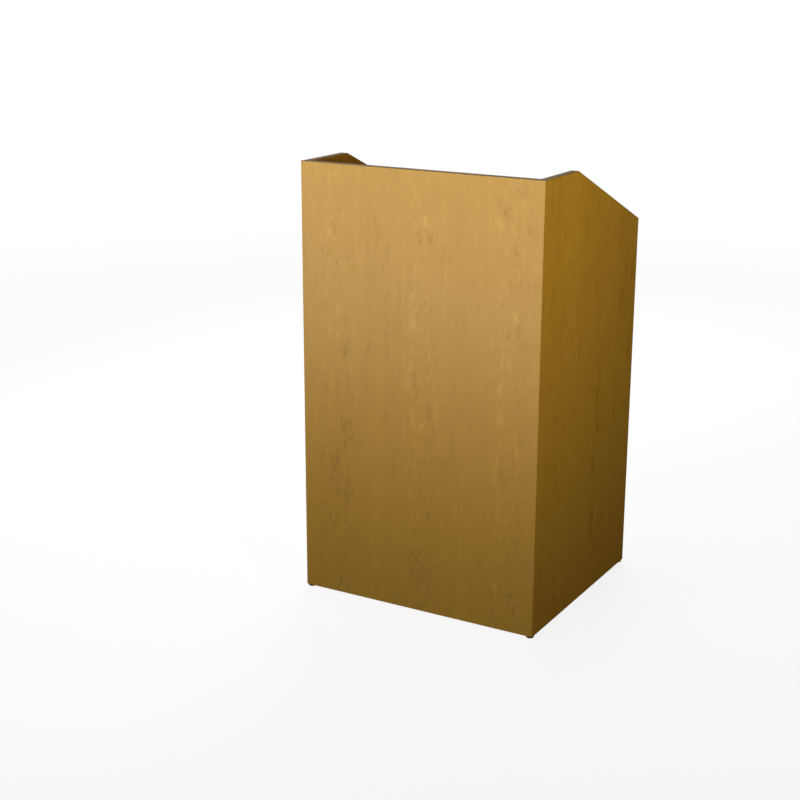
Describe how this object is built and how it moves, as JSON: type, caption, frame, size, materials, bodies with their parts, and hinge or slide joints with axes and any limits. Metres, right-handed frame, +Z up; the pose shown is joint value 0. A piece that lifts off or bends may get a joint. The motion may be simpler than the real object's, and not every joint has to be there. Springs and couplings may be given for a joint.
{
  "type": "wooden pulpit",
  "caption": "Veneered wooden floor pulpit with a closed front and sides, a sunk ledge, a sloping reading desk and an open back with a loose shelf.",
  "frame": {"origin": "on the floor, under the middle of the cabinet", "axes": "+Z up, -Y towards the audience, +Y towards the speaker, +X to the right as the audience sees it"},
  "size_m": [0.686, 0.61, 1.173],
  "materials": {
    "maple_veneer": "satin lacquer over quarter-grain maple veneer",
    "maple_edging": "satin lacquer, darker end-on edging",
    "solid_maple": "satin lacquer",
    "batten_wood": "planed softwood, unfinished",
    "black_plastic": "moulded, fine texture",
    "zinc_steel": "bright zinc plate",
    "brass_plate": "plain turned brass"
  },
  "bodies": {
    "cabinet": {"base_batten_front": "batten_wood", "base_batten_left": "batten_wood", "base_batten_right": "batten_wood", "base_edging": "maple_edging", "base_panel": "maple_veneer", "base_screw_front_left": "zinc_steel", "base_screw_front_right": "zinc_steel", "base_screw_rear_left": "zinc_steel", "base_screw_rear_right": "zinc_steel", "book_stop": "solid_maple", "corner_batten_left": "batten_wood", "corner_batten_right": "batten_wood", "corner_screw_lower_left": "zinc_steel", "corner_screw_lower_right": "zinc_steel", "corner_screw_upper_left": "zinc_steel", "corner_screw_upper_right": "zinc_steel", "desk": "maple_veneer", "desk_apron": "maple_veneer", "desk_batten_left": "batten_wood", "desk_batten_right": "batten_wood", "desk_edging": "maple_edging", "foot_insert_front_left": "brass_plate", "foot_insert_front_right": "brass_plate", "foot_insert_rear_left": "brass_plate", "foot_insert_rear_right": "brass_plate", "front_edging_left": "maple_veneer", "front_edging_right": "maple_veneer", "front_panel": "maple_veneer", "front_top_edging": "maple_edging", "grommet_liner": "black_plastic", "ledge": "maple_veneer", "ledge_batten_front": "batten_wood", "ledge_batten_left": "batten_wood", "ledge_batten_right": "batten_wood", "ledge_rail": "solid_maple", "rear_edging_left": "maple_edging", "rear_edging_right": "maple_edging", "shelf_pin_front_left": "brass_plate", "shelf_pin_front_right": "brass_plate", "shelf_pin_rear_left": "brass_plate", "shelf_pin_rear_right": "brass_plate", "side_panel_left": "maple_veneer", "side_panel_right": "maple_veneer", "slope_edging_left": "maple_edging", "slope_edging_right": "maple_edging", "toe_board": "maple_veneer", "top_edging_left": "maple_edging", "top_edging_right": "maple_edging"},
    "storage_shelf": {"storage_shelf": "maple_veneer", "shelf_edging": "maple_edging"},
    "grommet_cap": {"grommet_cap": "black_plastic"},
    "foot_front_left": {"foot_pad_front_left": "black_plastic", "foot_stud_front_left": "zinc_steel"},
    "foot_rear_left": {"foot_pad_rear_left": "black_plastic", "foot_stud_rear_left": "zinc_steel"},
    "foot_front_right": {"foot_pad_front_right": "black_plastic", "foot_stud_front_right": "zinc_steel"},
    "foot_rear_right": {"foot_pad_rear_right": "black_plastic", "foot_stud_rear_right": "zinc_steel"}
  },
  "joints": [
    {"name": "storage_shelf_slide", "type": "slide", "parent": "cabinet", "child": "storage_shelf", "axis": [0, 1, 0], "range_m": [0, 0.45]},
    {"name": "grommet_cap_turn", "type": "hinge", "parent": "cabinet", "child": "grommet_cap", "pos_m": [0.22, -0.2, 1.13], "axis": [0, 0, 1], "continuous": true},
    {"name": "foot_turn_front_left", "type": "hinge", "parent": "cabinet", "child": "foot_front_left", "pos_m": [-0.3325, -0.2945, 0.002], "axis": [0, 0, 1], "continuous": true},
    {"name": "foot_turn_rear_left", "type": "hinge", "parent": "cabinet", "child": "foot_rear_left", "pos_m": [-0.3325, 0.2945, 0.002], "axis": [0, 0, 1], "continuous": true},
    {"name": "foot_turn_front_right", "type": "hinge", "parent": "cabinet", "child": "foot_front_right", "pos_m": [0.3325, -0.2945, 0.002], "axis": [0, 0, 1], "continuous": true},
    {"name": "foot_turn_rear_right", "type": "hinge", "parent": "cabinet", "child": "foot_rear_right", "pos_m": [0.3325, 0.2945, 0.002], "axis": [0, 0, 1], "continuous": true}
  ]
}
